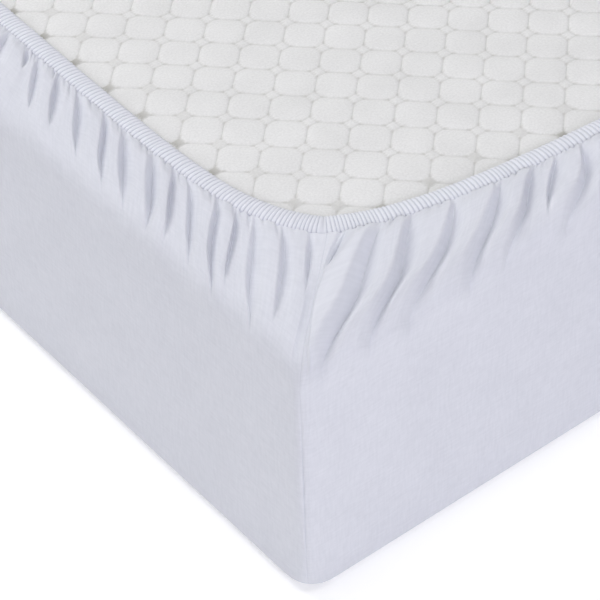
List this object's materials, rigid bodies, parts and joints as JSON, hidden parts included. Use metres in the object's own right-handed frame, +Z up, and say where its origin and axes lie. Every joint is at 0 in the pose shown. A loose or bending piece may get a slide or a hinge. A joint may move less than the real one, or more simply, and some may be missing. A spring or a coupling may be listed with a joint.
{
  "type": "fitted sheet on a mattress",
  "caption": "Plain woven fitted sheet with a gathered elastic hem, pulled over a deep quilted mattress that lies underside up.",
  "frame": {"origin": "centre of the footprint, on the surface that the part lies on", "axes": "+Z up, out of the face that the hem frames; +X along the short sides; +Y along the long sides"},
  "size_m": [1.3576, 1.9076, 0.3221],
  "materials": {
    "sheet_cloth": "smooth plain-woven cotton, cool white, matt",
    "mattress_ticking": "quilted knitted ticking, warm white, matt"
  },
  "bodies": {
    "root": {"sheet": "sheet_cloth", "mattress": "mattress_ticking"}
  },
  "joints": []
}
